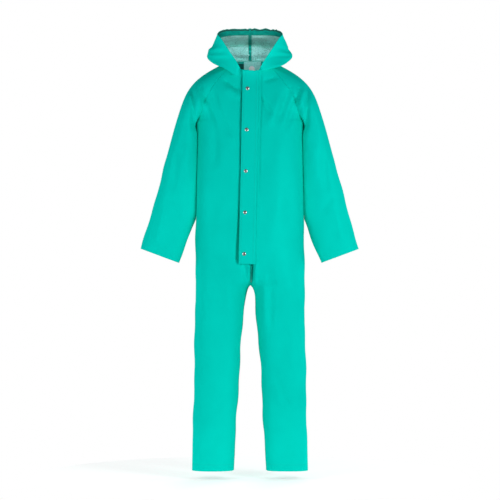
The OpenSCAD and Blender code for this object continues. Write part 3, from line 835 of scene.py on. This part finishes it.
class COVERALL_OT_tapes(Operator):
    """Makes the welded tapes on the inside of the body's seams"""

    bl_idname = "coverall.tapes"
    bl_label = "Seam tapes"

    def execute(self, context):
        for name, side in SIDES.items():
            self.long_tape(name, side, "_side_seam", 1420, (174, 186), "_side_tape", "_outseam_tape")
            self.long_tape(name, side, "_inside_leg_seam", 750, (-5, 5), "_inseam_tape")
            u, share = np.meshgrid(np.linspace(0.04, 0.97, 50), np.linspace(0.9, 0.996, 4), indexing="ij")
            for where in ("front", "back"):
                g = chest_point(u, share, where == "back", 10.0)
                g = draped(on_side(g[:, ::-1] if where == "back" else g, side))
                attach(tape_object(f"{name}_raglan_seam_{where}", g, name + "_raglan_tape"), "trunk")
        z, x = np.meshgrid(np.arange(905, 1630, TAPE_PITCH), np.linspace(10, -10, 5), indexing="ij")
        middle = draped(np.stack([x, along(BACK, z) - 0.3, z], -1))
        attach(tape_object("centre_back_seam", middle, "centre_back_tape"), "trunk")
        self.crotch()
        return {"FINISHED"}

    def long_tape(self, name, side, seam, top, angles, *nodes):
        """A tape that climbs a leg, between two angles of the body's section."""
        z, th = np.meshgrid(np.arange(32, top, TAPE_PITCH), np.linspace(*angles, 7), indexing="ij")
        g = draped(on_side(body_point(z, th), side))
        bend(tape_object(name + seam, g, *(name + node for node in nodes)), name + "_leg", *LEG_BEND)

    def crotch(self):
        """A strip from the zip's end under the body to the centre back seam."""
        zs = CROTCH_Z + np.linspace(0.75, 0.1, 14) ** 2 * (MERGE_Z - CROTCH_Z)
        front = body_point(zs, start_angle(zs, 0.3))
        behind = body_point(zs[::-1], 360 - start_angle(zs[::-1], 0.3))
        path = draped(np.concatenate([front, behind]))
        path[:, 0] = 0
        g = path[None] + np.linspace(-8, 8, 5)[:, None, None] * (1, 0, 0)
        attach(tape_object("crotch_seam", g, "crotch_tape"), "trunk")


# ---------------------------------------------------------------- hood

def neck_line():
    """Neck edge of the trunk and sleeves from the placket round to the centre back."""
    s = np.linspace(0.16, 1, 30)
    psi = np.linspace(NECK_ANGLE, 0, 14)[1:]
    front = chest_point(np.ones(30), s, False, front_edge(np.full(30, 1640.0), 1))
    around = np.concatenate([scye(psi), scye(360 - psi[::-1][1:])])
    behind = chest_point(np.ones(34), np.linspace(1, 0, 34), True, np.zeros(34))
    return np.concatenate([front, around, behind])


def neck_at(w):
    """Place on the neck edge for each w of the hood."""
    line = neck_line()
    length = np.r_[0, np.cumsum(np.linalg.norm(np.diff(line, axis=0), axis=1))]
    marks = [length[np.linalg.norm(line - HOOD[k, 0], axis=1).argmin()] for k in range(5)]
    marks[0], marks[4] = 0, length[-1]
    place = np.interp(w, range(5), marks)
    return np.stack([np.interp(place, length, line[:, k]) for k in range(3)], -1)


def hood_surface(w, v):
    """Hood point: w from the face edge, 0, to the centre back seam, 4; v from the neck, 0, to the top, 6."""

    def reader(count, at):
        k = np.minimum(at.astype(int), count - 2)
        f = at - k
        ids = [np.clip(k + d, 0, count - 1) for d in (-1, 0, 1, 2)]
        weights = [(-f + 2 * f**2 - f**3) / 2, (2 - 5 * f**2 + 3 * f**3) / 2,
                   (f + 4 * f**2 - 3 * f**3) / 2, (f**3 - f**2) / 2]
        return list(zip(ids, weights))

    total = 0
    for i, wi in reader(HOOD.shape[0], w):
        for j, wj in reader(HOOD.shape[1], v):
            total = total + (wi * wj)[..., None] * HOOD[i, j]
    return total


def hood_lip(x):
    """Height, counted along the hood, at which its fallen back ends."""
    return 3.7 + 0.35 * np.cos(x / 31 + 0.4) * smoothstep(0, 20, np.abs(x))


# How deep the roll over the neck hangs on the wearer's right and left, in millimetres
ROLL = {-1: 38, 1: 15}


def hood_folds(g, w, v):
    """Sewn to the neck edge, with a droop over the neck, a slumped back and gathers over the brow."""
    hood = settings().hood
    side = -1 if g[..., 0].mean() < 0 else 1
    out = g + (neck_at(w) - hood_surface(w, 0 * v)) * (side, 1, 1) * (1 - smoothstep(0, 1.1, v))[..., None]
    x = out[..., 0]
    # the cloth hangs over the neck seam in a soft roll, lowest beside the placket on the wearer's right
    roll = smoothstep(0.02, 0.3, v) * (1 - smoothstep(0.4, 1.35, v))
    low = ROLL[side] * smoothstep(0, 0.12, w) * (1 - smoothstep(0.12, 1.05, w))
    low += 6 * smoothstep(0.5, 1.2, w) * (1 - smoothstep(1.5, 3, w))
    out[..., 2] -= low * roll
    out[..., 1] -= 20 * roll * (1 - smoothstep(0.7, 2.0, w))
    # the back falls forward inside the hood and ends in a rounded lip
    lip = hood_lip(x)
    slump = smoothstep(0.4, 2.0, v) * (1 - smoothstep(lip - 0.05, lip + 0.14, v)) * smoothstep(2.5, 3.25, w)
    out[..., 1] -= hood.slump * slump * (1 + 0.12 * np.sin(x / 13 + v * 2))
    out[..., 2] += 6 * slump * smoothstep(2.2, 3.7, v) + 1.6 * slump * np.sin(x / 17 + 1)

    def crease(depth, off, start, end):
        return -depth * np.exp(-(off**2)) * smoothstep(*start, w) * (1 - smoothstep(*end, w))

    soft = 2.6 * np.sin(w * 2.1 + v * 1.3 + side) * smoothstep(0.3, 1.2, w) * (1 - smoothstep(2.3, 3, w))
    creases = crease(6.0, (v - 2.1 - 0.5 * w) / 0.26, (0.1, 0.5), (1.0, 1.8))
    creases += crease(4.6, (v - 1.2 - 0.9 * w) / 0.2, (0.1, 0.4), (0.7, 1.2))
    # the elastic draws the brow in, most on the wearer's left
    gather = smoothstep(4.2, 5.2, v) * (1 - smoothstep(0.0, 0.95, w)) * (0.45 + 0.55 * smoothstep(-30, 10, x))
    wave = np.sin(x * hood.gathers / 62) + 0.6 * np.sin(x * hood.gathers / 37 + 0.6)
    middle = smoothstep(0, 22, np.abs(x))
    height = 2.9 * gather * wave + (soft + creases) * smoothstep(0.2, 1, v) * middle
    push = grid_normals(out) * height[..., None]
    push[..., 0] *= middle
    return out + push


def hood_grid(ws, vs, side):
    """One half of the hood, or a strip of it, kept on its own side of the middle."""
    v, w = np.meshgrid(vs, ws, indexing="ij")
    g = hood_folds(hood_surface(w, v) * (side, 1, 1), w, v)
    g[..., 0] = np.maximum(g[..., 0] * side, 0) * side
    return g if side > 0 else g[:, ::-1]


class COVERALL_OT_hood(Operator):
    """Makes the hood's two halves, its face hem, elastic and centre tape"""

    bl_idname = "coverall.hood"
    bl_label = "Hood"

    def execute(self, context):
        fine = np.array([0, 0.03, 0.06, 0.1])
        ws = np.r_[fine, np.linspace(0.16, 3.9, 52), 4 - fine[::-1]]
        vs = np.r_[fine, np.linspace(0.16, 5.86, 60), 6 - fine[::-1]]
        hem_ws, web_ws, web_vs = np.linspace(0.0, 0.95, 16), np.linspace(0.08, 0.3, 6), vs[10:]
        for name, side in SIDES.items():
            g = hood_grid(ws, vs, side)
            centre = "right" if side > 0 else "left"
            cloth = panel_object(f"{name}_hood_cloth", seamed(g, (centre,), groove=0))
            # the inner roof above the fallen back gets a darker lining: painted shade
            self.paint_top_shade(cloth, vs[:-1, None] > hood_lip(g[:-1, :-1, 0]))
            hem = lining_object(f"{name}_face_hem", hood_grid(hem_ws, vs, side), FACE_HEM_LAYER, "tape")
            web_g = hood_grid(web_ws, web_vs, side)
            web = lining_object(f"{name}_hood_elastic", web_g, ELASTIC_LAYER, "elastic")
            self.sew(cloth, "coat", name + "_hood_panel")
            self.sew(hem, "seam_tape", "hood_face_hem")
            self.sew(web, "elastic", "hood_elastic")
        w, v = np.linspace(3.9, 0.66, 40), np.linspace(0.15, 5.9, 50)
        path = np.concatenate([self.middle_run(3.95, v, dw=0.02), self.middle_run(w, 5.93, dv=0.02)])
        path[:, 0] = 0
        g = path[:, None] + np.linspace(6.5, -6.5, 5)[None, :, None] * (1, 0, 0)
        tape = lining_object("hood_centre_seam", g, HOOD_TAPE_LAYER, "tape")
        self.sew(tape, "seam_tape", "hood_centre_tape")
        return {"FINISHED"}

    def sew(self, obj, slot, node):
        bend(obj, "hood", *HOOD_BEND)
        stands_for(obj, slot, node)

    def paint_top_shade(self, obj, above):
        """Gives the inner faces above the fallen back a darker copy of the lining, painted shade for the
        hood's shadowed roof; they come second in the mesh.
        """
        obj.data.materials.append(material("painted_shade_lining"))
        slots = np.zeros(len(obj.data.polygons), np.int32)
        obj.data.polygons.foreach_get("material_index", slots)
        slots[above.size:2 * above.size] += above.ravel()
        obj.data.polygons.foreach_set("material_index", slots)

    def middle_run(self, w, v, dw=0.0, dv=0.0):
        """Points along the hood close to its middle, with a second run beside them for the normals."""
        w, v = (np.tile(each, (2, 1)) for each in np.broadcast_arrays(w, v))
        beside = np.array([[0], [1]])
        return hood_folds(hood_surface(w + dw * beside, v + dv * beside), w, v)[0]


# ---------------------------------------------------------------- front closing

def placket_to_row(points):
    """From the placket's own axes, x across, y into the suit and z along it, to the suit's millimetres."""
    x, y, z = np.moveaxis(np.asarray(points, float), -1, 0)
    y, z = y * math.cos(LEAN_X) - z * math.sin(LEAN_X), y * math.sin(LEAN_X) + z * math.cos(LEAN_X)
    x, z = x * math.cos(LEAN_Y) + z * math.sin(LEAN_Y), -x * math.sin(LEAN_Y) + z * math.cos(LEAN_Y)
    return np.stack([x, y, z], -1) + PLACKET_FOOT


def flap_rows():
    """Storm flap as a grid of outer points: free edge, face, and the root that is sewn to the left front."""
    wave = settings().closing.flap_wave
    xs = np.r_[-33, -32.2, -31, -29, -26, np.linspace(-22, 24, 14), 27, 30, 32, 33.4, 34.6, 36, 38, 41, 44]
    zs = np.r_[0, 0.8, 2, 4, np.linspace(9, FLAP_LEN - 8, 118), FLAP_LEN - 3, FLAP_LEN - 0.8, FLAP_LEN]
    z, x = np.meshgrid(zs, xs, indexing="ij")
    free = smoothstep(-12, -33, x)
    y = -8.0 + 6.1 * smoothstep(31.5, 36.5, x)
    y += wave * free * (np.sin(z / 58 + 0.6) * 0.6 + 0.3 * np.sin(z / 19)) - 0.6 * free * (1 - free)
    y += 0.18 * np.sin(z / 33 + x / 17) * (1 - smoothstep(20, 33, x))
    # a row of stitches draws each long edge in
    y += sum(0.35 * np.exp(-(((x - edge) / 1.6) ** 2)) for edge in (-28.5, 28.5))
    return placket_to_row(np.stack([x, y, z], -1))


# The frame's own solids that stay, by the material they get
FINISHED_NODES = {
    "metal": ("stud_caps", "stud_sockets", "stud_posts", "stud_backs", "zip_stops", "zip_slider",
              "zip_pull"),
    "zip_cloth": ("left_zip_tape", "right_zip_tape"),
    "coat": ("inner_fly",),
}


class COVERALL_OT_closing(Operator):
    """Makes the storm flap and finishes the studs, the zip and what lies behind it"""

    bl_idname = "coverall.closing"
    bl_label = "Front closing"

    def execute(self, context):
        g = flap_rows()
        flap = sheet_object("storm_flap_cloth", g, 0, 1.9, [material("coat")])
        bend(flap, "flap", *placket_to_row([[37.5, -4, 400], [30.5, -4, 400]]))
        stands_for(flap, "coat", "storm_flap", "flap_seam_strip")
        for key, nodes in FINISHED_NODES.items():
            for node in nodes:
                dress(node, key)
        return {"FINISHED"}


# ---------------------------------------------------------------- repeated pieces by geometry nodes

def sewing_tree(name, mat):
    """Geometry nodes that set small rounded bars along a path: stitches or zip teeth."""
    tree = bpy.data.node_groups.new(name, "GeometryNodeTree")
    face = tree.interface
    face.new_socket("Geometry", in_out="INPUT", socket_type="NodeSocketGeometry")
    for label, value in (("Pitch", 0.004), ("Bar length", 0.003), ("Bar radius", 0.0004)):
        face.new_socket(label, in_out="INPUT", socket_type="NodeSocketFloat").default_value = value
    face.new_socket("Across", in_out="INPUT", socket_type="NodeSocketBool")
    face.new_socket("Geometry", in_out="OUTPUT", socket_type="NodeSocketGeometry")
    kinds = {
        "start": "NodeGroupInput", "points": "GeometryNodeCurveToPoints", "ball": "GeometryNodeMeshUVSphere",
        "half": "ShaderNodeMath", "size": "ShaderNodeCombineXYZ", "shape": "GeometryNodeTransform",
        "turn": "GeometryNodeSwitch", "sideways": "FunctionNodeEulerToRotation",
        "put": "GeometryNodeInstanceOnPoints", "spin": "GeometryNodeRotateInstances",
        "real": "GeometryNodeRealizeInstances", "paint": "GeometryNodeSetMaterial", "end": "NodeGroupOutput",
    }
    node = {key: tree.nodes.new(kind) for key, kind in kinds.items()}
    node["points"].mode = "LENGTH"
    node["turn"].input_type = "ROTATION"
    node["half"].operation = "MULTIPLY"
    fixed = (("ball", "Segments", 6), ("ball", "Rings", 4), ("ball", "Radius", 1.0), ("half", 1, 0.5),
             ("sideways", 0, (0, math.pi / 2, 0)), ("paint", "Material", mat))
    for key, socket, value in fixed:
        node[key].inputs[socket].default_value = value
    wires = (
        ("start", "Geometry", "points", "Curve"), ("start", "Pitch", "points", "Length"),
        ("start", "Bar length", "half", 0), ("start", "Bar radius", "size", "X"),
        ("start", "Bar radius", "size", "Y"), ("half", 0, "size", "Z"), ("ball", "Mesh", "shape", "Geometry"),
        ("size", 0, "shape", "Scale"), ("points", "Points", "put", "Points"),
        ("points", "Rotation", "put", "Rotation"), ("shape", 0, "put", "Instance"),
        ("put", "Instances", "spin", "Instances"), ("start", "Across", "turn", "Switch"),
        ("sideways", 0, "turn", "True"), ("turn", 0, "spin", "Rotation"), ("spin", 0, "real", 0),
        ("real", 0, "paint", "Geometry"), ("paint", "Geometry", "end", "Geometry"),
    )
    for a, out, b, into in wires:
        tree.links.new(node[a].outputs[out], node[b].inputs[into])
    return tree


def sewn(name, paths, mat, pitch, bar, radius, across=False):
    """Runs the sewing tree over open paths in row metres and returns one plain mesh."""
    curve = bpy.data.curves.new(name + "_path", "CURVE")
    curve.dimensions = "3D"
    for path in paths:
        line = curve.splines.new("POLY")
        line.points.add(len(path) - 1)
        line.points.foreach_set("co", np.c_[path, np.ones(len(path))].ravel())
    guide = link(name + "_path", curve)
    tree = sewing_tree(name + "_tree", mat)
    modifier = guide.modifiers.new("Sewing", "NODES")
    modifier.node_group = tree
    values = {"Pitch": pitch, "Bar length": bar, "Bar radius": radius, "Across": across}
    for item in tree.interface.items_tree:
        if item.item_type == "SOCKET" and item.in_out == "INPUT" and item.name in values:
            modifier[item.identifier] = values[item.name]
    bpy.context.view_layer.update()
    shown = guide.evaluated_get(bpy.context.evaluated_depsgraph_get())
    mesh = bpy.data.meshes.new_from_object(shown)
    if not mesh.polygons:
        raise RuntimeError(f"{name}: no pieces were made along the path")
    mesh.name = name
    guide.modifiers.remove(modifier)
    bpy.data.objects.remove(guide)
    return link(name, mesh)


STITCH_LENGTH, STITCH_RADIUS = 0.0034, 0.00032
TOOTH_LENGTH, TOOTH_RADIUS = 0.0025, 0.00105


class COVERALL_OT_stitches(Operator):
    """Sews the flap and the hems, and sets the zip's teeth"""

    bl_idname = "coverall.stitches"
    bl_label = "Stitches and zip teeth"

    def execute(self, context):
        g = flap_rows()
        face = g + 0.15 * grid_normals(g)
        free, root = 4, 18  # the flap's columns that carry its two rows of stitches
        self.stitch("flap_stitches", [face[3:-3, free], face[3:-3, root], face[3, free:root]], "flap")
        for name, side in SIDES.items():
            ring = body_point(np.full((1, 181), HEM_H - 3), np.linspace(0, 360, 181)[None])
            hem = draped(on_side(ring, side))
            n = grid_normals(np.concatenate([hem - (0, 0, 1), hem]))[1:]
            self.stitch(name + "_leg_hem_stitches", [(hem + 0.2 * n)[0]], name + "_leg")
            cuff = draped(on_side(sleeve_rows(np.linspace(360, 0, 181), np.array([0.966, 0.964])), side))
            n = grid_normals(cuff[::-1])[::-1]
            self.stitch(name + "_cuff_stitches", [(cuff + 0.2 * n)[0]], name + "_arm")
            self.zip_teeth(name, side)
        return {"FINISHED"}

    def stitch(self, name, lines, body):
        pitch = settings().closing.stitch_pitch
        paths = [to_row(line) for line in lines]
        row = sewn(name, paths, material("thread"), pitch, STITCH_LENGTH, STITCH_RADIUS)
        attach(row, body)

    def zip_teeth(self, name, side):
        pitch = settings().closing.tooth_pitch
        path = to_row(placket_to_row([(ZIP_OFF + side * 2.05, 2.8, z) for z in (17.0, 400.0, 772.0)]))
        teeth = sewn(name + "_zip_teeth", [path], material("zip_coil"), pitch, TOOTH_LENGTH, TOOTH_RADIUS,
                     across=True)
        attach(teeth, "trunk")
        stands_for(teeth, "zip_coil", name + "_zip_chain")


# ---------------------------------------------------------------- neck

# How far back a strip moves for each millimetre down, as a share of its distance behind the shoulders
STRIP_LEAN = 0.0016


class COVERALL_OT_neck(Operator):
    """Makes the neck seam band, the lining patch and the blank size label"""

    bl_idname = "coverall.neck"
    bl_label = "Neck"

    def execute(self, context):
        line = neck_line()
        for name, side in SIDES.items():
            self.strip(f"{name}_neck_seam_band", line, side, (10, 7, 4, 1), 1.9, "tape")
            # a near-black strip hangs inside the back neck: painted shade for the deep hollow there
            self.strip(f"{name}_neck_facing", line[line[:, 1] > 12], side, (56, 44, 32, 20, 8), 1.3, "facing")
        self.patch()
        dress("size_disc", "label")
        return {"FINISHED"}

    def strip(self, name, line, side, depths, below, key):
        """A strip that hangs from the neck line at some depths, `below` millimetres inside it."""
        down = line * (0, STRIP_LEAN, 0) - (0, 0, 1)
        g = on_side(np.stack([line + down * h for h in depths]), side)
        band = sheet_object(name, g, below, below + 0.5, [material(key)])
        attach(band, "trunk")
        stands_for(band, "seam_tape", "neck_band")

    def patch(self):
        z, x = np.meshgrid(np.linspace(1634, 1680, 12), np.linspace(-25, 45, 24), indexing="ij")
        slope = math.tan(math.radians(7))
        y = 76.8 - (z - 1647) * slope - 1.5 * ((x - 10) / 35) ** 2 + 0.5 * np.sin(x / 9) * np.sin(z / 11)
        patch = sheet_object("size_patch_cloth", np.stack([x, y, z], -1), 0, 0.8, [material("patch_knit")])
        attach(patch, "trunk")
        stands_for(patch, "lining", "size_patch")


# ---------------------------------------------------------------- stage

HEM_Z = -NAPE_Z * MM
PICTURE_Z = 902.0  # height above the hems at the middle of the picture
FLOOR_GAP, FLOOR_RADIUS, FLOOR_GLOW = 0.035, 0.9, 0.43
WHITE = (1, 1, 1, 1)


class COVERALL_OT_stage(Operator):
    """Makes the floor, the soft studio light and the camera"""

    bl_idname = "coverall.stage"
    bl_label = "Stage"

    def execute(self, context):
        stage = settings().stage
        self.floor(context)
        for side in (-1, 1):
            self.area("hip_front", (side * 1.1, -1.4, 1.0), 1.0, stage.key * 0.72, 0.7)
            self.area("side", (side * 3.0, 0.7, 1.0), 0.8, stage.key * 1.8, 1.8)
        self.area("front", (1.9, -2.4, 1.5), 1.2, stage.key, 0.5)
        snoot = bpy.data.lights.new("snoot", "SPOT")
        snoot.energy, snoot.shadow_soft_size = stage.key * 18, 0.08
        snoot.spot_size, snoot.spot_blend = math.radians(3.9), 0.4
        self.hang("snoot", snoot, (0, -3.2, HEM_Z + 1.735), (math.pi / 2, 0, 0))
        self.area("behind", (1.2, 4.2, 1.9), 0.9, stage.key * 5, 2.6)
        self.room(context, stage.fill)
        view = context.scene.view_settings
        view.view_transform, view.look = "Standard", "None"
        camera = bpy.data.cameras.new("camera")
        camera.lens = camera.sensor_width * stage.distance / stage.frame_height
        place = to_row([0, 0, PICTURE_Z]) - (0, stage.distance, 0)
        context.scene.camera = self.hang("camera", camera, place, (math.pi / 2, 0, 0))
        return {"FINISHED"}

    def floor(self, context):
        bpy.ops.mesh.primitive_circle_add(
            vertices=96, radius=FLOOR_RADIUS, fill_type="NGON", location=(0, 0, HEM_Z - FLOOR_GAP))
        floor = context.object
        floor.name = "floor"
        white = Finish("floor_white", (0.9, 0.9, 0.9), 0.9, Emission_Color=WHITE,
                       Emission_Strength=FLOOR_GLOW)
        floor.data.materials.append(white.material)

    def room(self, context, fill):
        """A white room that the camera sees at full strength and the suit at the strength of the fill."""
        world = bpy.data.worlds.new("room")
        context.scene.world = world
        world.use_nodes = True
        nodes, links = world.node_tree.nodes, world.node_tree.links
        back = nodes["Background"]
        back.inputs["Color"].default_value = WHITE
        sight, level = nodes.new("ShaderNodeLightPath"), nodes.new("ShaderNodeMapRange")
        level.inputs["To Min"].default_value, level.inputs["To Max"].default_value = fill, 1.0
        links.new(sight.outputs["Is Camera Ray"], level.inputs["Value"])
        links.new(level.outputs["Result"], back.inputs["Strength"])

    def area(self, name, place, aim, power, size):
        """A square light above the hems that faces the suit's upright axis at the height `aim`."""
        light = bpy.data.lights.new(name, "AREA")
        light.energy, light.size = power, size
        x, y, z = place
        turn = (math.atan2(math.hypot(x, y), (HEM_Z + z) - (HEM_Z + aim)), 0, math.atan2(x, -y))
        self.hang(name, light, (x, y, HEM_Z + z), turn).visible_camera = False

    def hang(self, name, data, place, turn):
        obj = link(name, data)
        obj.location, obj.rotation_euler = place, turn
        return obj


# ---------------------------------------------------------------- add-on

class CoverallSettings(PropertyGroup):
    """Everything a user would change."""

    fabric: PointerProperty(type=FabricSettings)
    closing: PointerProperty(type=ClosingSettings)
    hood: PointerProperty(type=HoodSettings)
    stage: PointerProperty(type=StageSettings)


OPERATORS = (COVERALL_OT_body, COVERALL_OT_sleeves, COVERALL_OT_tapes, COVERALL_OT_hood, COVERALL_OT_closing,
             COVERALL_OT_stitches, COVERALL_OT_neck, COVERALL_OT_stage)


class COVERALL_PT_panel(Panel):
    """Lists the settings and the operators"""

    bl_idname = "COVERALL_PT_panel"
    bl_label = "Coverall"
    bl_space_type = "VIEW_3D"
    bl_region_type = "UI"
    bl_category = "Coverall"

    def draw(self, context):
        layout = self.layout
        for group in ("fabric", "closing", "hood", "stage"):
            box = layout.box()
            data = getattr(context.scene.coverall, group)
            for key in data.__annotations__:
                box.prop(data, key)
        for operator in OPERATORS:
            layout.operator(operator.bl_idname)


CLASSES = (FabricSettings, ClosingSettings, HoodSettings, StageSettings, CoverallSettings, *OPERATORS,
           COVERALL_PT_panel)


def register():
    for cls in CLASSES:
        bpy.utils.register_class(cls)
    bpy.types.Scene.coverall = PointerProperty(type=CoverallSettings)


def unregister():
    del bpy.types.Scene.coverall
    for cls in reversed(CLASSES):
        bpy.utils.unregister_class(cls)


def main():
    register()
    for operator in OPERATORS:
        group, name = operator.bl_idname.split(".")
        getattr(getattr(bpy.ops, group), name)()


if __name__ == "__main__":
    main()
